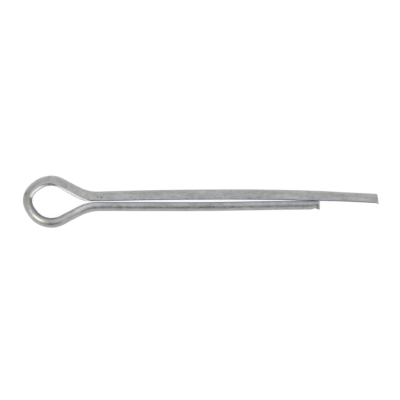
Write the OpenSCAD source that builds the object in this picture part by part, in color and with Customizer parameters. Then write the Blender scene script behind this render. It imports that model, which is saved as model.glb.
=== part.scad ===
// Cotter pin: one half-round wire, folded back on itself into an eye and two legs of unequal length.
// It lies on its side on z = 0: +X runs from the eye to the tips, +Y across the loop, +Z up.
// The flat face of the wire faces inward all round; its round back faces outward.

/* [Half-round wire] */
// Width of the section, across its flat face
wire_w = 3; // [2.8:0.05:3.2]
// Thickness of the section, from the flat face to the top of the round back
wire_t = 1.5; // [1.4:0.02:1.6]
// Rounding of the two corners where the flat face meets the round back
corner_r = 0.45; // [0.35:0.01:0.55]

/* [Eye] */
// Bend radius of the flat face at the nose of the eye
nose_r = 1.9; // [1.6:0.05:2.2]
// Bend of the nose toward the long leg, in degrees
nose_up = 47; // [43:1:51]
// Bend of the nose toward the short leg, in degrees
nose_down = 29; // [25:1:33]
// Bend radius of the flat face on the two flanks beside the nose
flank_r = 6.9; // [6:0.1:8]
// Bend of the flank on the long leg's side, in degrees
flank_up = 8; // [5:1:11]
// Bend of the flank on the short leg's side, in degrees
flank_down = 9; // [6:1:12]
// Bend radius of the flat face at the two shoulders of the eye
shoulder_r = 3.1; // [2.9:0.05:3.3]
// Slope of the arm that runs down to the long leg, in degrees
arm_up = 27; // [25:1:29]
// Slope of the arm that runs down to the short leg, in degrees
arm_down = 30; // [28:1:32]
// How far the foremost point of the nose lies to the long leg's side of the shank axis
nose_rise = 0.19; // [0:0.01:0.4]

/* [Neck] */
// Bend radius of the round back where each arm turns into its leg
neck_r = 7.6; // [6.5:0.1:8.5]
// Gap between the flat faces where the legs leave the neck
neck_gap = 0.15; // [0.05:0.01:0.25]

/* [Legs] */
// Drilled hole that this size of pin is made for: the eye seats where the neck grows wider than it
hole_d = 3.57; // [3.4:0.01:3.9]
// Nominal length, from the seat under the eye to the end of the short leg
pin_len = 38.1; // [34:0.1:42]
// How much longer the long leg is than the short leg
tip_ext = 9.6; // [7:0.1:12]
// Angle at which the long leg leaves the shank axis, in degrees
long_flare = 1.6; // [1.4:0.05:1.9]
// Straight length of the long leg behind the neck
long_run = 8; // [6:0.5:11]
// Radius of the long leg's inward bow
long_bow_r = 430; // [410:5:450]
// Angle at which the short leg leaves the shank axis, in degrees
short_flare = 0.1; // [0:0.05:0.4]
// Straight length of the short leg behind the neck
short_run = 16; // [12:0.5:20]
// Radius of the short leg's inward bow
short_bow_r = 300; // [200:10:400]
// Gap left between the legs where the short leg ends against the long one
tip_gap = 0.03; // [0.02:0.01:0.1]

/* [Sheared ends] */
// Slant of the cut across the long leg, in degrees: its flat side is the longer
long_slant = 15; // [8:1:22]
// Slant of the cut across the short leg, in degrees: its flat side is the longer
short_slant = 4; // [1:1:8]
// How far the long leg's burr hangs from its flat face
burr_h = 0.2; // [0.1:0.01:0.25]
// How far the long leg's burr reaches past the cut
burr_reach = 0.05; // [0.02:0.01:0.08]
// Length of the long leg's burr along the wire
burr_l = 0.45; // [0.35:0.01:0.55]
// Depth of the pinch that the cutter left across the short leg's back
pinch_d = 0.2; // [0.1:0.01:0.25]
// Radius of the pinch
pinch_r = 0.6; // [0.5:0.05:0.8]
// Distance from the middle of the pinch to the end of the short leg
pinch_back = 0.6; // [0.5:0.05:0.7]
// Bevel rolled onto the flat face's edge at the short leg's end
roll_over = 0.18; // [0.1:0.01:0.25]

/* [Hidden] */
$fn = 96;
over = 0.4;             // stock left past each end of a bend, then cut off square
tip_run = 1.5;          // straight length at the end of the long leg
grid = 0.01;            // a move is split into whole steps of this and the rest, so no digit is lost
blend = 0.003;          // by how much the corner arcs stand out of the flat and the back, to cross them
axis_y = -nose_rise;    // the shank axis, seen from the nose
silver = [0.72, 0.73, 0.74];

// Section: centre and radius of the round back, and the point where a corner arc meets it
cor_x = corner_r;
cor_y = wire_w/2 - corner_r - blend;
back_r = (cor_y*cor_y + pow(wire_t - corner_r, 2) - corner_r*corner_r)/(2*(wire_t - 2*corner_r));
back_x = wire_t - back_r;
meet_k = back_r/(back_r - corner_r);
meet = [back_x + (cor_x - back_x)*meet_k, cor_y*meet_k];

// Plane paths: a place is [x, y, heading] of the flat face, with the round back on its left
function bent(p, r, a) = [p.x + r*(sin(p[2]) - sin(p[2] - a)), p.y + r*(cos(p[2] - a) - cos(p[2])), p[2] - a];
function swung(p, r, a) = [p.x + r*(sin(p[2] + a) - sin(p[2])), p.y + r*(cos(p[2]) - cos(p[2] + a)), p[2] + a];
function gone(p, d) = [p.x + d*cos(p[2]), p.y + d*sin(p[2]), p[2]];
function along(p, lx, ly) = [p.x + lx*sin(p[2]) + ly*cos(p[2]), p.y - lx*cos(p[2]) + ly*sin(p[2])];

// Each half of the eye, worked out on the long leg's side of its own shank axis
function shoulder(up, flank, arm) =
  bent(bent(bent([0, 0, 90], nose_r, up), flank_r, flank), shoulder_r, 90 - up - flank + arm);
flat_r = neck_r + wire_t;
function arm_len(sh, arm, flare, y) = (sh.y - flat_r*(cos(flare) - cos(arm)) - y)/sin(arm);

sh_u = shoulder(nose_up, flank_up, arm_up);
len_u = arm_len(sh_u, arm_up, long_flare, axis_y + neck_gap/2);
neck_u = swung(gone(sh_u, len_u), flat_r, arm_up + long_flare);

sh_d = shoulder(nose_down, flank_down, arm_down);
len_d = arm_len(sh_d, arm_down, short_flare, neck_gap/2 - axis_y);
neck_d = swung(gone(sh_d, len_d), flat_r, arm_down + short_flare);

// The seat: where the round back of the long leg's neck comes down to the edge of the hole
neck_c = [neck_u.x - flat_r*sin(long_flare), neck_u.y + flat_r*cos(long_flare)];
seat_x = neck_c.x - neck_r*sin(acos((neck_c.y - axis_y - hole_d/2)/neck_r));
short_x = seat_x + pin_len;
long_x = short_x + tip_ext;

// Long leg: straight, then an even bow up to the last straight piece
run_u = gone(neck_u, long_run);
bow_u = run_u[2] - asin(sin(run_u[2]) - (long_x - tip_run - run_u.x)/long_bow_r);
tip_u = gone(bent(run_u, long_bow_r, bow_u), tip_run);
touch_a = run_u[2] - asin(sin(run_u[2]) - (short_x - run_u.x)/long_bow_r);
touch = bent(run_u, long_bow_r, touch_a);

// Short leg: straight, a bow, and a straight end that stops just short of the long leg
run_d = gone(neck_d, short_run);
bow_c = [run_d.x + short_bow_r*sin(run_d[2]), run_d.y - short_bow_r*cos(run_d[2])];
aim = [short_x - bow_c.x, tip_gap - touch.y - bow_c.y];
end_d = sqrt(aim.x*aim.x + aim.y*aim.y - short_bow_r*short_bow_r);
bow_d = run_d[2] - (atan2(aim.y, aim.x) - atan2(short_bow_r, end_d));

// Box of the whole pin in the nose's frame, to centre it
burr_tip = along(tip_u, burr_h, burr_reach);
x_lo = -wire_t;
x_hi = max(tip_u.x, burr_tip.x);
y_hi = sh_u.y + shoulder_r*(1 - cos(arm_up)) + wire_t;
y_lo = -(sh_d.y + shoulder_r*(1 - cos(arm_down)) + wire_t);

// ---- Half-round section: flat face on x = 0, round back toward side*x
module half_round(side) {
  intersection() {
    translate([side*back_x, 0]) circle(r = back_r);
    polygon([
      [0, side*cor_y],
      [0, -side*cor_y],
      [side*2*meet.x, -side*(2*meet.y - cor_y)],
      [side*2*wire_t, -side*wire_w],
      [side*2*wire_t, side*wire_w],
      [side*2*meet.x, side*(2*meet.y - cor_y)]
    ]);
  }
  for (s = [-1, 1]) translate([side*cor_x, s*cor_y]) circle(r = corner_r + blend);
}

function whole(v) = round(v/grid)*grid;

module shift(x, y) {
  translate([whole(x), whole(y), 0]) translate([x - whole(x), y - whole(y), 0]) children();
}

// ---- Everything past the line y = 0, to cut a piece off square
module beyond(size) {
  translate([-size, 0, -wire_w]) cube([2*size, size, 2*wire_w]);
}

// ---- Straight wire of a given length along +Y, and whatever follows at its end
module straight(len) {
  rotate([90, 0, 180]) linear_extrude(len) half_round(1);
  translate([0, len, 0]) children();
}

// ---- Bend toward the flat face: its radius r is the flat face's
module bend_in(r, a) {
  more = over/r*180/PI;
  e = bent([0, 0, 90], r, a);
  difference() {
    translate([r, 0, 0])
      rotate_extrude(angle = a + 2*more, start = 180 - a - more)
        translate([r, 0]) half_round(1);
    rotate([0, 0, 180]) beyond(4*wire_t);
    shift(e.x, e.y) rotate([0, 0, -a]) beyond(4*wire_t);
  }
  shift(e.x, e.y) rotate([0, 0, -a]) children();
}

// ---- Bend toward the round back: its radius r is the back's
module bend_out(r, a) {
  f = r + wire_t;
  more = over/r*180/PI;
  e = swung([0, 0, 90], f, a);
  difference() {
    translate([-f, 0, 0])
      rotate_extrude(angle = a + 2*more, start = -more)
        translate([f, 0]) half_round(-1);
    rotate([0, 0, 180]) beyond(4*wire_t);
    shift(e.x, e.y) rotate([0, 0, a]) beyond(4*wire_t);
  }
  shift(e.x, e.y) rotate([0, 0, a]) children();
}

// ---- Last straight of the long leg: slanted cut, with a burr hanging from its flat face
module long_end(len) {
  difference() {
    straight(len + wire_t);
    shift(0, len) rotate([0, 0, long_slant]) beyond(4*wire_t);
  }
  translate([0, len, 0])
    linear_extrude(wire_w - 3*corner_r, center = true)
      polygon([
        [-burr_h, -burr_l - burr_h],
        [burr_h, -burr_l/2],
        [burr_h, burr_reach],
        [-burr_h, -burr_l/2]
      ]);
}

// ---- Last straight of the short leg: cut, pinched across its back, its flat edge rolled over
module short_end(len) {
  difference() {
    straight(len + wire_t);
    shift(0, len) rotate([0, 0, short_slant]) beyond(4*wire_t);
    translate([-wire_t - pinch_r + pinch_d, len - pinch_back, -wire_w])
      cylinder(r = pinch_r, h = 2*wire_w);
    shift(0, len - roll_over) rotate([0, 0, -45]) beyond(4*wire_t);
  }
}

module pin_wire() color(silver) {
  translate([-(x_lo + x_hi)/2, -(y_lo + y_hi)/2, wire_w/2]) {
    bend_in(nose_r, nose_up)
      bend_in(flank_r, flank_up)
        bend_in(shoulder_r, 90 - nose_up - flank_up + arm_up)
          straight(len_u)
            bend_out(neck_r, arm_up + long_flare)
              straight(long_run)
                bend_in(long_bow_r, bow_u)
                  long_end(tip_run);
    rotate([180, 0, 0])
      bend_in(nose_r, nose_down)
        bend_in(flank_r, flank_down)
          bend_in(shoulder_r, 90 - nose_down - flank_down + arm_down)
            straight(len_d)
              bend_out(neck_r, arm_down + short_flare)
                straight(short_run)
                  bend_in(short_bow_r, bow_d)
                    short_end(end_d);
  }
}

pin_wire();
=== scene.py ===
import bpy
import numpy as np
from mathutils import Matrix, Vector


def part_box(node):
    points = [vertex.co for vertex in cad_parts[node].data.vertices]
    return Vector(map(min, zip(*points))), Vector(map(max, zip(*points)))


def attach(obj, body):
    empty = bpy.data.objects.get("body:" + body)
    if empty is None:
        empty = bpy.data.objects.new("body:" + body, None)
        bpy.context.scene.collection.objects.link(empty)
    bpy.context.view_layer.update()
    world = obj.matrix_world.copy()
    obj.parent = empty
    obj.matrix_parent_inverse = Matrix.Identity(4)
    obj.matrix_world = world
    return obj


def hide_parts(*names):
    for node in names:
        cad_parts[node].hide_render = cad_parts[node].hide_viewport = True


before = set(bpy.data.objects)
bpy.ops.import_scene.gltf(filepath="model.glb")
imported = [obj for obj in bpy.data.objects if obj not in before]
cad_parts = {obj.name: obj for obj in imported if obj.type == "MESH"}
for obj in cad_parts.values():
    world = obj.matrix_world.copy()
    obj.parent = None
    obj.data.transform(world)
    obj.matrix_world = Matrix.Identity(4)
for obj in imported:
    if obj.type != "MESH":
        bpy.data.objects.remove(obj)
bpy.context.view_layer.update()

# ---- Camera --------------------------------------------------------------------------------
# Looks down on the pin as it lies, from a little toward the short leg's side.
# The frame is 66 mm wide at the middle of the wire. Sizes are in millimetres.
mm = 0.001
camera_far = 400.0
camera_lean = np.radians(4.0)
frame_width = 66.05
film_width = 36.0
aim = np.array([-0.13, 0.265, 1.5])
toward_camera = np.array([0, -np.sin(camera_lean), np.cos(camera_lean)])
camera = bpy.data.objects.new("camera", bpy.data.cameras.new("camera"))
bpy.context.collection.objects.link(camera)
camera.location = (aim + camera_far * toward_camera) * mm
camera.rotation_euler = (Vector(aim * mm) - camera.location).to_track_quat("-Z", "Y").to_euler()
camera.data.sensor_width = film_width
camera.data.lens = film_width * camera_far / frame_width
camera.data.clip_start = 0.01
camera.data.clip_end = 10
bpy.context.scene.camera = camera
bpy.context.scene.view_settings.view_transform = "Standard"

# ---- The wire ------------------------------------------------------------------------------
# One length of half-round steel wire, folded round a former with its flat face inward all
# round, sheared off at both legs, then barrel-plated with zinc. Sizes are in millimetres.
wire_width = 3.0
wire_thick = 1.5
corner = 0.24
nose_r, flank_r, shoulder_r, neck_r = 1.9, 6.9, 3.1, 9.1
nose_aside = 0.19
half_gap = 0.075
ring_step = 0.115


def smooth(a, step, reach):
    """A running mean weighted by a bell curve: each value becomes the sum of its neighbours times
    exp(-(distance / reach)^2 / 2), divided by the sum of those weights. The ends are held."""
    n = int(3 * reach / step)
    weights = np.exp(-0.5 * (np.arange(-n, n + 1) * step / reach) ** 2)
    return np.convolve(np.pad(a, n, mode="edge"), weights / weights.sum(), mode="valid")


def carry(stretches, step=0.01):
    """The flat face's line in plan, from the nose at (0, 0) heading along +Y, through stretches of
    (length, turn in degrees). The heading falls by each turn, evenly over its length and eased
    between stretches, and the place is the running sum of step * (cos heading, sin heading)."""
    eased = 0.3
    lengths = np.array([p[0] for p in stretches])
    rates = np.radians([p[1] for p in stretches]) / lengths
    s = np.arange(0, lengths.sum(), step)
    stretch = np.searchsorted(np.cumsum(lengths), s, side="right")
    rate = smooth(rates[np.minimum(stretch, len(rates) - 1)], step, eased)
    heading = np.pi / 2 - np.concatenate([[0], np.cumsum(rate[:-1] * step)])
    middle = heading - rate * step / 2
    x = np.concatenate([[0], np.cumsum(np.cos(middle[:-1]) * step)])
    y = np.concatenate([[0], np.cumsum(np.sin(middle[:-1]) * step)])
    return s, x, y, heading


def half_pin(nose, flank, arm, flare, leg, end_x, flat_y):
    """One half of the pin, from the nose to a tip. nose and flank are turns in degrees, arm and
    flare the slopes of the arm and of the leg behind the neck, and leg the stretches behind that.
    The arm's length is corrected until the flat face leaves the neck at flat_y: it grows by the
    error in height over the sine of its slope. The line is cut off where it reaches end_x."""
    shoulder = 90 - nose - flank + arm
    arm_length = 2.5
    for _ in range(4):
        line = [
            (nose_r * np.radians(nose), nose),
            (flank_r * np.radians(flank), flank),
            (shoulder_r * np.radians(shoulder), shoulder),
            (arm_length, 0.0),
            (neck_r * np.radians(arm + flare), -(arm + flare)),
        ]
        neck_end = sum(p[0] for p in line)
        s, x, y, h = carry(line + leg)
        arm_length += (np.interp(neck_end, s, y) - flat_y) / np.sin(np.radians(arm))
    s_end = np.interp(end_x, x, s)
    keep = s < s_end
    return [np.append(a[keep], np.interp(s_end, s, a)) for a in (s, x, y, h)]


# The nose stands a little to the long leg's side of the shank axis. Each leg leaves the neck, runs
# straight and bows back, and the short leg's tip all but touches the long leg.
long_half = half_pin(
    nose=47, flank=8, arm=27, flare=1.6, leg=[(8.0, 0.0), (36.2, 4.82), (3.0, 0.0)],
    end_x=57.33, flat_y=-nose_aside + half_gap,
)
short_half = half_pin(
    nose=29, flank=9, arm=30, flare=0.1, leg=[(16.0, 0.0), (4.6, 0.874), (17.0, 0.0)],
    end_x=47.68, flat_y=nose_aside + half_gap,
)
# The halves joined at the nose, as one line from the short leg's tip to the long leg's. Its rings
# of points stand closer together near the two tips.
s = np.concatenate([-short_half[0][:0:-1], long_half[0]])
x = np.concatenate([short_half[1][:0:-1], long_half[1]])
y = np.concatenate([-short_half[2][:0:-1], long_half[2]])
heading = np.concatenate([np.pi - short_half[3][:0:-1], long_half[3]])
near = np.concatenate([[0, 0.015, 0.04], np.arange(0.08, 1.2, 0.05)])
between = np.arange(s[0] + 1.25, s[-1] - 1.22, ring_step)
rings = np.concatenate([s[0] + near, between, s[-1] - near[::-1]])
x, y, heading = (np.interp(rings, s, a) for a in (x, y, heading))
s = rings


def half_round():
    """The D section as points (out, up), anticlockwise seen along the wire from its short end: out
    is measured from the flat face toward the round back, up from the wire's mid height. The back
    is the circle through its own top that touches both corner circles from outside."""
    back_points, corner_points, flat_points = 36, 12, 18
    rise = wire_width / 2 - corner
    back = (rise**2 + (wire_thick - corner) ** 2 - corner**2) / (2 * (wire_thick - 2 * corner))
    lean = np.arctan2(rise, corner - (wire_thick - back))
    a = np.linspace(-lean, lean, back_points)
    top = np.linspace(lean, np.pi, corner_points)[1:]
    flat = np.linspace(rise, -rise, flat_points)[1:-1]
    rounded_out = corner + corner * np.cos(top)
    rounded_up = rise + corner * np.sin(top)
    out = [wire_thick - back + back * np.cos(a), rounded_out, 0 * flat, rounded_out[::-1]]
    up = [back * np.sin(a), rounded_up, flat, -rounded_up[::-1]]
    return np.concatenate(out)[:-1], np.concatenate(up)[:-1]


def along(s, stations, values):
    """Values set at stations along the wire, joined by straight lines and eased over 0.6 mm."""
    step, eased = 0.05, 0.6
    fine = np.arange(s[0] - 3, s[-1] + 3, step)
    return np.interp(s, fine, smooth(np.interp(fine, stations, values), step, eased))


# What the bending did, as (place along the wire from the nose, twist in degrees, thickness, stray).
# The wire's upper edge leans outward round the eye, and in over the gap along the long leg. Its
# back is drawn thinner round the nose and thicker in the arms, and the flat face strays from the
# even line by up to 0.3 mm.
bending = [
    (-47.0, 2.0, 1.385, 0.24),
    (-45.5, 2.0, 1.435, 0.18),
    (-44.0, 2.0, 1.45, 0.145),
    (-36.0, 2.0, 1.44, 0.145),
    (-26.0, 2.0, 1.45, 0.125),
    (-20.0, 2.0, 1.47, 0.085),
    (-16.0, 2.0, 1.46, 0.06),
    (-12.0, 3.0, 1.522, -0.04),
    (-11.0, 4.667, 1.608, -0.124),
    (-9.0, 8.0, 1.509, -0.03),
    (-7.0, 8.0, 1.519, -0.17),
    (-5.0, 9.0, 1.557, -0.15),
    (-3.0, 6.5, 1.48, -0.087),
    (-1.0, 6.0, 1.36, -0.02),
    (0.5, 4.4, 1.325, -0.02),
    (2.0, 4.8, 1.411, -0.095),
    (3.5, 2.6, 1.491, -0.11),
    (5.0, 0.8, 1.577, -0.06),
    (7.0, 4.6, 1.58, -0.225),
    (9.0, 5.2, 1.581, -0.26),
    (11.0, 4.2, 1.654, -0.32),
    (11.8, -3.5, 1.63, -0.1),
    (12.6, -5.5, 1.515, 0.13),
    (13.5, -6.0, 1.551, 0.13),
    (15.0, -7.0, 1.558, 0.15),
    (16.0, -7.4, 1.562, 0.155),
    (20.0, -8.1, 1.553, 0.16),
    (30.0, -10.3, 1.542, 0.165),
    (38.0, -10.8, 1.554, 0.19),
    (43.5, -10.181, 1.544, 0.2),
    (46.5, -9.9, 1.614, 0.13),
    (50.0, -7.2, 1.573, 0.1),
    (54.0, -4.0, 1.541, 0.01),
    (57.0, -4.0, 1.546, 0.02),
]
station, twist, thick, stray = np.array(bending).T
twist = np.radians(along(s, station, twist))
thick = along(s, station, thick)
stray = along(s, station, stray)
foot = wire_width / 2 - corner
out, up = half_round()
out = out[None, :] * (thick / wire_thick)[:, None]
up = up[None, :] + 0 * out
in_wire = np.stack([s[:, None] + 0 * out, out, up], axis=-1)

# ---- The sheared ends ----------------------------------------------------------------------
# A blade parted the wire at both legs. It left a slanted, torn face, edges that are rolled over
# or pinched, and a burr where it came through. Sizes are in millimetres.
# girth is how far a point stands off the flat face, as a share of the even wire's thickness.
slant_reach = 2.5
to_long = (s[-1] - s)[:, None]
to_short = (s - s[0])[:, None]
girth = out / wire_thick


def fading(distance, reach):
    """1 at no distance, falling evenly to 0 at reach."""
    return np.clip(1 - distance / reach, 0, 1)


def rising(value, start, reach):
    """0 up to start, rising evenly to 1 at start + reach."""
    return np.clip((value - start) / reach, 0, 1)


def swell(value, centre, reach):
    """A bell curve: exp(-((value - centre) / reach)^2)."""
    return np.exp(-(((value - centre) / reach) ** 2))


# Long leg: the face slopes back toward the round side, whose edge is rolled over, and the burr
# hooks past the flat face.
slope_out, slope_up = 0.2, 0.03
hook_aside, hook_ahead, hook_reach = 0.23, 0.07, 0.38
roll_depth, roll_reach = 0.02, 0.08
slant = fading(to_long, slant_reach)
ahead = -slope_out * out * slant - slope_up * (up + wire_width / 2) * slant
hook = fading(to_long, hook_reach) ** 0.7 * fading(out, 0.5) * swell(up, 0.75, 1.1)
out = out - hook_aside * hook
ahead = ahead + hook_ahead * hook
roll = np.exp(-to_long / roll_reach) * rising(girth, 0.55, 0.45)
out = out - roll_depth * roll

# Short leg: nearly square in plan, leaning back toward the top, pinched just behind the face, with
# a rounded corner on the flat side and a burr tip on the round side.
slope_out, slope_up = 0.03, 0.11
pinch_depth, pinch_place, pinch_reach = 0.17, 0.85, 0.36
tip_aside, tip_ahead, tip_reach = 0.1, 0.08, 0.3
round_aside, round_back, round_reach = 0.18, 0.12, 0.3
slant = fading(to_short, slant_reach)
ahead_short = (slope_out * out - slope_up * (up + wire_width / 2)) * slant
pinch = swell(to_short, pinch_place, pinch_reach) * rising(girth, 0.35, 0.65)
out = out - pinch_depth * pinch
tip = fading(to_short, tip_reach) ** 1.3 * rising(girth, 0.6, 0.4) * swell(up, 0.3, 0.9)
out = out + tip_aside * tip
ahead_short = ahead_short + tip_ahead * tip
rounding = np.exp(-to_short / round_reach) * fading(out, 0.5) * rising(up, -0.2, 1.2)
out = out + round_aside * rounding
ahead_short = ahead_short - round_back * np.exp(-to_short / 0.16) * rounding
ahead = ahead - ahead_short

# Every ring is turned by the twist about the lower edge of the flat face and let down to z = 0.
u = out * np.cos(twist)[:, None] + (up + foot) * np.sin(twist)[:, None] + stray[:, None]
w = -out * np.sin(twist)[:, None] + (up + foot) * np.cos(twist)[:, None]
w -= w.min(axis=1, keepdims=True)
c, d = np.cos(heading)[:, None], np.sin(heading)[:, None]
plan = np.stack([x[:, None] - d * u + c * ahead, y[:, None] + c * u + d * ahead, w], axis=-1)
face_rings = np.array([0.25, 1, 2, 3, 4, 5, 6])
cup_depth, tear_depth, middle_depth = 0.05, 0.05, 0.08


def torn_face(ring, forward, places):
    """The sheared face as rings shrunk toward its middle: ring k lies at middle + (1 - k / 7) *
    (edge - middle), pushed back along forward by a shallow cup and by the tear's ridges, a sum of
    sines across the face. places are the edge's (along, out, up), shrunk in the same way."""
    q = (1 - face_rings / len(face_rings))[:, None, None]
    middle, home = ring.mean(axis=0), places.mean(axis=0)
    rows, spots = middle + q * (ring - middle), home + q * (places - home)
    o, p = spots[..., 1], spots[..., 2]
    tear = 0.5 + 0.5 * np.sin(6 * p + 3 * o + 1.1 * np.sin(9 * o)) * np.sin(4 * o - 5 * p + 0.6)
    depth = (1 - q[..., 0] ** 4) * (-cup_depth - tear_depth * tear * np.clip(1.2 - o, 0, 1))
    rows = rows + depth[..., None] * forward
    return (np.concatenate([rows.reshape(-1, 3), [middle - middle_depth * forward]]),
            np.concatenate([spots.reshape(-1, 3), [home]]))


# The mesh: the skin's rings, then each torn face as its shrunk rings and a fan to its middle. The
# short leg's face is wound the other way, so that both point outward. The nose lies a little to
# the long leg's side of the middle of the solid's box.
nose_off_middle = 0.255
m, n = plan.shape[:2]
forward = [np.array([c[v, 0], d[v, 0], 0.0]) * (-1 if v == 0 else 1) for v in (0, -1)]
ends = [torn_face(plan[v], forward[v], in_wire[v]) for v in (0, -1)]
low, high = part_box("pin_wire")
nose_y = (low[1] + high[1]) / 2 / mm + nose_off_middle
shift = np.array([low[0] / mm - plan[..., 0].min(), nose_y, 0])
points = np.concatenate([plan.reshape(-1, 3), ends[0][0], ends[1][0]]) + shift
wire_place = np.concatenate([in_wire.reshape(-1, 3), ends[0][1], ends[1][1]])
i, j = np.meshgrid(np.arange(m - 1), np.arange(n), indexing="ij")
k = (j + 1) % n
skin = np.stack([i * n + j, i * n + k, (i + 1) * n + k, (i + 1) * n + j], axis=-1)
faces = skin.reshape(-1, 4).tolist()
around = np.arange(n)
after = (around + 1) % n
per_end = len(ends[0][0])
for edge, start, turn in ((0, m * n, -1), ((m - 1) * n, m * n + per_end, 1)):
    rows = [edge + around] + [start + r * n + around for r in range(len(face_rings))]
    for inner, outer in zip(rows[1:], rows[:-1]):
        quad = np.stack([outer, outer[after], inner[after], inner], axis=-1)
        faces += quad[:, ::turn].tolist()
    centre = np.full(n, start + per_end - 1)
    fan = np.stack([rows[-1], rows[-1][after], centre], axis=-1)
    faces += fan[:, ::turn].tolist()
mesh = bpy.data.meshes.new("wire")
mesh.from_pydata((points * mm).tolist(), [], faces)
mesh.polygons.foreach_set("use_smooth", np.ones(len(mesh.polygons), bool))
wire = bpy.data.objects.new("wire", mesh)
bpy.context.collection.objects.link(wire)

# ---- The zinc plating ----------------------------------------------------------------------
# Mild steel wire, drawn half round, tumbled and barrel-plated with clear-passivated zinc. The eye
# sees a soft grey metal: fine lines along the draw and a cloudy mottle about 0.7 mm across. Where
# the tools pressed the flat face it is smoother and lighter, a painted reflection of the white
# paper, and at the bends it is rougher and darker, a painted shade.


def write(name, kind, values):
    """Stores one value a vertex under a name: a plain number, or a vector."""
    made = mesh.attributes.new(name, kind, "POINT")
    field = "vector" if kind == "FLOAT_VECTOR" else "value"
    made.data.foreach_set(field, np.ascontiguousarray(values, dtype=np.float32).ravel())


def hump(value, zone):
    """A height at each value: the zone's (place, height) pairs, joined by a smooth step, which is
    t * t * (3 - 2 t)."""
    places, heights = np.array(zone, float).T
    k = np.clip(np.searchsorted(places, value) - 1, 0, len(places) - 2)
    t = np.clip((value - places[k]) / (places[k + 1] - places[k]), 0, 1)
    return heights[k] + (heights[k + 1] - heights[k]) * t * t * (3 - 2 * t)


# The flat face: rougher and darkened at the bends and at the long leg's end, a painted shade where
# it mirrors the shaded paper, and pressed smooth and lighter by the nose and in the arm, a painted
# reflection of the white paper. The zones' edges wander as they go up the face.
a_long, a_out, a_up = wire_place.T
flat_side = fading(a_out, 0.08)
wander = a_long + 0.12 * np.sin(2.1 * a_up + 0.5) + 0.06 * np.sin(5.3 * a_up)
crumpled_and_painted_shade = flat_side * hump(wander, [
    (-8.5, 0), (-6.5, 0.3), (-5.0, 1), (0.1, 1), (0.6, 0),
    (3.4, 0), (4.4, 1), (5.0, 1), (5.8, 0), (47.0, 0), (48.0, 0.3),
])
pressed_and_painted_reflection = flat_side * hump(wander, [
    (0.3, 0), (0.8, 1), (2.4, 1), (3.6, 0), (5.2, 0), (7.0, 1), (10.8, 1), (12.0, 0),
])
# The back: a faint shine over the eye's long side, and on the short arm near its flat face.
long_shine = 0.065 * hump(a_long, [(1.5, 0), (4.0, 1), (7.0, 1), (9.5, 0)])
short_shine = 0.15 * hump(a_long, [(-14.0, 0), (-12.0, 1), (-9.5, 1), (-8.0, 0)])
inner_half = np.clip((0.9 - a_out) / 0.3, 0, 1)
burnished = rising(a_out, 0, 0.25) * (long_shine + short_shine * inner_half)
# Painted shade over a rougher finish: a darker band along the long arm's upper edge, and the flat
# face darkened in the short leg and toward the long leg's end, where it faces the other leg. The
# short leg is also a little duller all over.
upper_edge = rising(a_up, 0.9, 0.3) * np.clip((0.3 - a_out) / 0.12, 0, 1)
scuff_and_painted_shade = upper_edge * hump(a_long, [(5.0, 0), (6.5, 0.25), (10.5, 0.25), (12.5, 0)])
near_flat = np.clip(1.6 - a_out / 0.15, 0, 1)
worn_and_painted_shade = near_flat * hump(a_long, [(-14.0, 0.45), (-12.0, 0), (36.0, 0), (43.0, 0.85)])
tarnished = 0.08 * hump(a_long, [(-13.0, 1), (-10.0, 0)])
dull_and_painted_shade = np.maximum(np.maximum(crumpled_and_painted_shade, scuff_and_painted_shade), np.maximum(worn_and_painted_shade, tarnished))
# Bare steel: the torn faces, and the edges and burrs round them.
cut = np.zeros(len(points))
cut[m * n:] = 1.0
bare_edge = np.maximum(1 - to_long / 0.1, 1 - to_short / 0.12)
cut[:m * n] = np.clip(bare_edge + 6 * hook + 0.8 * tip, 0, 1).ravel()
# Marks on the upper side as (along, out, radius, strength): nicks from handling, and brown stains.
nicks = [
    (12.75, 0.66, 0.16, 0.6),
    (13.4, 0.62, 0.18, 0.9),
    (10.8, 0.7, 0.16, 0.6),
    (4.3, 1.25, 0.12, 0.7),
]
stains = [
    (0.65, 0.85, 0.22, 0.42),
    (-0.4, 0.8, 0.7, 0.16),
    (0.5, 0.85, 0.8, 0.2),
    (s[0] + 0.3, 1.17, 0.19, 0.92),
]
upper_side = rising(a_up, 0, 0.3)
nick, stain_and_painted_shade = (
    sum(g * np.exp(-(((a_long - p) ** 2 + (a_out - o) ** 2) / r**2)) for p, o, r, g in marks)
    * upper_side
    for marks in (nicks, stains)
)
# Painted shade: a brown line along the foot of the flat face in the pressed zones, where it
# mirrors the pin's contact shadow on the paper.
toward_foot = rising(-a_up, 0, 1.1) ** 1.5
painted_foot_shade = 1.25 * toward_foot * fading(a_out, 0.3) * hump(wander, [
    (-0.2, 0), (0.9, 1), (2.5, 1), (3.8, 0), (5.2, 0), (6.8, 0.9), (10.0, 0.9), (11.6, 0),
])
write("in_wire", "FLOAT_VECTOR", wire_place)
# Of these, dull and stain also carry painted shade, and pressed a painted reflection.
for name, values in (
    ("dull_and_painted_shade", dull_and_painted_shade),
    ("pressed_and_painted_reflection", np.maximum(pressed_and_painted_reflection, burnished)),
    ("cut", cut),
    ("nick", nick),
    ("stain_and_painted_shade", stain_and_painted_shade + painted_foot_shade),
):
    write(name, "FLOAT", np.clip(values, 0, 1))


def linear(code):
    """sRGB hex to linear: c / 12.92 below 0.04045, else ((c + 0.055) / 1.055) ^ 2.4."""
    c = np.array([int(code[v:v + 2], 16) / 255 for v in (1, 3, 5)])
    return (*np.where(c < 0.04045, c / 12.92, ((c + 0.055) / 1.055) ** 2.4), 1.0)


def add_node(tree, kind, settings=(), links=()):
    """Adds a node of a kind, sets its named properties or sockets, and links sockets into it."""
    node = tree.nodes.new(kind)
    for name, value in dict(settings).items():
        if isinstance(name, str) and name not in node.inputs:
            setattr(node, name, value)
        else:
            node.inputs[name].default_value = value
    for name, source in dict(links).items():
        tree.links.new(source, node.inputs[name])
    return node


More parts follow.
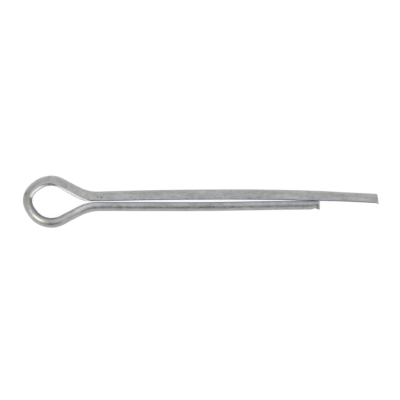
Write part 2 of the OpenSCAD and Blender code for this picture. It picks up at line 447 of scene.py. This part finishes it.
# Finishes laid over the plain plating, as (name, colour, cover, roughness). The dull colour is
# partly painted shade, the pressed colour partly a painted reflection, and the stain colour also
# paints the shade along the flat face's foot.
finishes = [
    ("dull_and_painted_shade", "#70706d", 1.0, 0.55),
    ("pressed_and_painted_reflection", "#fdfdfb", 1.0, 0.14),
    ("cut", "#d6d0c8", 0.9, 0.42),
    ("stain_and_painted_shade", "#6b5d3c", 1.0, 0.45),
    ("nick", "#585856", 0.85, 0.5),
]
plain_dark, plain_light = "#8f8f8e", "#c1c1c1"
# Patterns in cells per millimetre along, out and up. Draw lines: 0.12 mm apart and about 1.5 mm
# long. Drift: 5 mm long and 1.4 mm wide. Mottle: 0.7 mm. Grain of the plating: 0.15 mm, which is
# coarser than the real one so that it shows.
line_cells = (0.65, 8.0, 8.0)
drift_cells = (0.2, 0.7, 0.7)
mottle_cells = 1.4
grain_cells = 6.5
relief_depth = 0.0105 * mm

zinc = bpy.data.materials.new("zinc_plated_steel")
zinc.use_nodes = True
tree = zinc.node_tree
shader = tree.nodes["Principled BSDF"]
shader.inputs["Metallic"].default_value = 1.0
place = add_node(tree, "ShaderNodeAttribute", {"attribute_name": "in_wire"}).outputs["Vector"]
share = {}
for name, *_ in finishes:
    share[name] = add_node(tree, "ShaderNodeAttribute", {"attribute_name": name}).outputs["Fac"]
drawn = add_node(
    tree, "ShaderNodeVectorMath", {"operation": "MULTIPLY", 1: line_cells}, {0: place})
lines = add_node(
    tree, "ShaderNodeTexNoise", {"Scale": 1.0, "Detail": 2.0, "Roughness": 0.6},
    {"Vector": drawn.outputs[0]})
mottle = add_node(
    tree, "ShaderNodeTexNoise", {"Scale": mottle_cells, "Detail": 3.0, "Roughness": 0.55},
    {"Vector": place})
grain = add_node(
    tree, "ShaderNodeTexNoise", {"Scale": grain_cells, "Detail": 2.0, "Roughness": 0.5},
    {"Vector": place})
stretched = add_node(
    tree, "ShaderNodeVectorMath", {"operation": "MULTIPLY", 1: drift_cells}, {0: place})
drift = add_node(
    tree, "ShaderNodeTexNoise", {"Scale": 1.0, "Detail": 2.0, "Roughness": 0.5},
    {"Vector": stretched.outputs[0]})

# Colour: the plain plating clouded by mottle, lines and drift, then each finish over it. The
# mottle breaks up the dull zones, painted shade included, and the stains.
cloud = add_node(
    tree, "ShaderNodeMath", {"operation": "ADD"},
    {0: mottle.outputs["Fac"], 1: lines.outputs["Fac"]})
cloud = add_node(
    tree, "ShaderNodeMath", {"operation": "ADD"},
    {0: cloud.outputs[0], 1: drift.outputs["Fac"]})
tone = add_node(
    tree, "ShaderNodeMapRange", {"From Min": 1.0, "From Max": 2.0}, {"Value": cloud.outputs[0]})
colour = add_node(
    tree, "ShaderNodeMix",
    {"data_type": "RGBA", 6: linear(plain_dark), 7: linear(plain_light)}, {0: tone.outputs[0]})
patchy = add_node(
    tree, "ShaderNodeMapRange",
    {"From Min": 0.38, "From Max": 0.62, "To Min": 0.65, "To Max": 1.15, "clamp": False},
    {"Value": mottle.outputs["Fac"]})
for name in ("dull_and_painted_shade", "stain_and_painted_shade"):
    share[name] = add_node(
        tree, "ShaderNodeMath", {"operation": "MULTIPLY"},
        {0: share[name], 1: patchy.outputs[0]}).outputs[0]
for name, code, cover, _ in finishes:
    part = add_node(
        tree, "ShaderNodeMath", {"operation": "MULTIPLY", 1: cover}, {0: share[name]})
    colour = add_node(
        tree, "ShaderNodeMix", {"data_type": "RGBA", 7: linear(code)},
        {0: part.outputs[0], 6: colour.outputs[2]})
tree.links.new(colour.outputs[2], shader.inputs["Base Color"])

# Roughness: it varies with the mottle, and each finish has its own.
rough = add_node(
    tree, "ShaderNodeMapRange",
    {"From Min": 0.3, "From Max": 0.7, "To Min": 0.24, "To Max": 0.34},
    {"Value": mottle.outputs["Fac"]})
for name, _, _, level in finishes:
    rough = add_node(
        tree, "ShaderNodeMix", {"data_type": "FLOAT", 3: level},
        {0: share[name], 2: rough.outputs[0]})
tree.links.new(rough.outputs[0], shader.inputs["Roughness"])

# Relief: draw lines and grain, flattened where the tools pressed, with the nicks sunk in.
relief = add_node(
    tree, "ShaderNodeMath", {"operation": "MULTIPLY_ADD", 1: 0.6},
    {0: lines.outputs["Fac"], 2: grain.outputs["Fac"]})
unpressed = add_node(
    tree, "ShaderNodeMapRange", {"To Min": 1.0, "To Max": 0.15}, {"Value": share["pressed_and_painted_reflection"]})
relief = add_node(
    tree, "ShaderNodeMath", {"operation": "MULTIPLY"},
    {0: relief.outputs[0], 1: unpressed.outputs[0]})
dented = add_node(
    tree, "ShaderNodeMath", {"operation": "MULTIPLY_ADD", 1: -3.0},
    {0: share["nick"], 2: relief.outputs[0]})
bump = add_node(
    tree, "ShaderNodeBump", {"Strength": 1.0, "Distance": relief_depth},
    {"Height": dented.outputs[0]})
tree.links.new(bump.outputs["Normal"], shader.inputs["Normal"])
mesh.materials.append(zinc)
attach(wire, "root")
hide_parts("pin_wire")

# ---- Floor and light -----------------------------------------------------------------------
# A sheet of white paper under the pin, in a white tent that is open toward the front, where the
# room is darker. One lamp stands low at the front left. Sizes are in metres.
floor_size = 3
floor_drop = 0.00001
paper_white = 0.76
white_to_camera, white_to_metal = 0.85, 0.6
white_strength = 1.1
bpy.ops.mesh.primitive_plane_add(size=floor_size, location=(0, 0, -floor_drop))
floor = bpy.context.object
floor.name = "floor"
paper = bpy.data.materials.new("white_paper")
paper.use_nodes = True
tree = paper.node_tree
body = tree.nodes["Principled BSDF"]
body.inputs["Base Color"].default_value = (paper_white, paper_white, paper_white, 1)
body.inputs["Roughness"].default_value = 1.0
body.inputs["Specular IOR Level"].default_value = 0.0
# The paper is plain white by a share of 0.85 to the camera, and of 0.6 mirrored in metal or seen
# through glass. The rest is the lit sheet, which keeps the pin's shadow.
seen = add_node(tree, "ShaderNodeLightPath")
mirrored = add_node(
    tree, "ShaderNodeMath", {"operation": "MAXIMUM"},
    {0: seen.outputs["Is Glossy Ray"], 1: seen.outputs["Is Transmission Ray"]})
to_metal = add_node(
    tree, "ShaderNodeMath", {"operation": "MULTIPLY", 1: white_to_metal},
    {0: mirrored.outputs[0]})
white_share = add_node(
    tree, "ShaderNodeMath", {"operation": "MULTIPLY_ADD", 1: white_to_camera},
    {0: seen.outputs["Is Camera Ray"], 2: to_metal.outputs[0]})
white = add_node(
    tree, "ShaderNodeEmission", {"Color": (1, 1, 1, 1), "Strength": white_strength})
mixed = add_node(
    tree, "ShaderNodeMixShader", {},
    {0: white_share.outputs[0], 1: body.outputs[0], 2: white.outputs[0]})
tree.links.new(mixed.outputs[0], tree.nodes["Material Output"].inputs["Surface"])
floor.data.materials.append(paper)


def lobe(tree, direction, power):
    """How near a direction of the sky is to the given one: max(0, cosine of the angle) ^ power."""
    d = np.array(direction, float)
    sky = add_node(tree, "ShaderNodeTexCoord")
    cosine = add_node(
        tree, "ShaderNodeVectorMath",
        {"operation": "DOT_PRODUCT", 1: (d / np.linalg.norm(d)).tolist()},
        {0: sky.outputs["Generated"]})
    facing = add_node(
        tree, "ShaderNodeMath", {"operation": "MAXIMUM", 1: 0.0}, {0: cosine.outputs["Value"]})
    return add_node(
        tree, "ShaderNodeMath", {"operation": "POWER", 1: power},
        {0: facing.outputs[0]}).outputs[0]


# The tent as lobes (direction, power, colour) added to an even white. The camera sees plain white.
even = (0.91, 0.92, 0.925)
tent = [
    ((0, 0.1, 1), 8, (-0.06, 0.015, 0.2)),
    ((0, -0.8, 0.65), 4, (-0.36, -0.34, -0.32)),
    ((0, -1, 0.14), 14, (-0.58, -0.58, -0.56)),
    ((0, 0.8, 0.6), 6, (0.06, 0.04, 0.0)),
    ((-1, 0.1, 0.5), 5, (0.05, 0.04, 0.0)),
    ((0.42, -0.6, 0.7), 10, (0.78, 0.75, 0.76)),
    ((-0.51, -0.68, 0.48), 30, (3.0, 2.8, 2.42)),
    ((1, 0, 0.4), 6, (0.25, 0.18, 0.08)),
    ((-0.7, 0.7, 0.3), 6, (-0.18, -0.22, -0.27)),
]
world = bpy.data.worlds.new("tent")
bpy.context.scene.world = world
world.use_nodes = True
tree = world.node_tree
back = tree.nodes["Background"]
room = add_node(tree, "ShaderNodeCombineXYZ", {0: even[0], 1: even[1], 2: even[2]})
for direction, power, colour in tent:
    room = add_node(
        tree, "ShaderNodeVectorMath", {"operation": "MULTIPLY_ADD", 1: colour},
        {0: lobe(tree, direction, power), 2: room.outputs[0]})
seen = add_node(tree, "ShaderNodeLightPath")
behind = add_node(
    tree, "ShaderNodeMix", {"data_type": "RGBA", 7: (1, 1, 1, 1)},
    {0: seen.outputs["Is Camera Ray"], 6: room.outputs[0]})
tree.links.new(behind.outputs[2], back.inputs["Color"])
back.inputs["Strength"].default_value = 1.0

# The lamp: a soft square, faintly warm, turned toward the pin.
lamp_place = (-0.52, -0.56, 0.5)
lamp_side = 0.4
lamp_watts = 0.4
lamp = bpy.data.objects.new("left_lamp", bpy.data.lights.new("left_lamp", "AREA"))
lamp.data.shape = "RECTANGLE"
lamp.data.size, lamp.data.size_y = lamp_side, lamp_side
lamp.data.energy = lamp_watts
lamp.data.color = linear("#fff2d8")[:3]
lamp.location = lamp_place
lamp.rotation_euler = (-Vector(lamp_place)).to_track_quat("-Z", "Y").to_euler()
bpy.context.collection.objects.link(lamp)
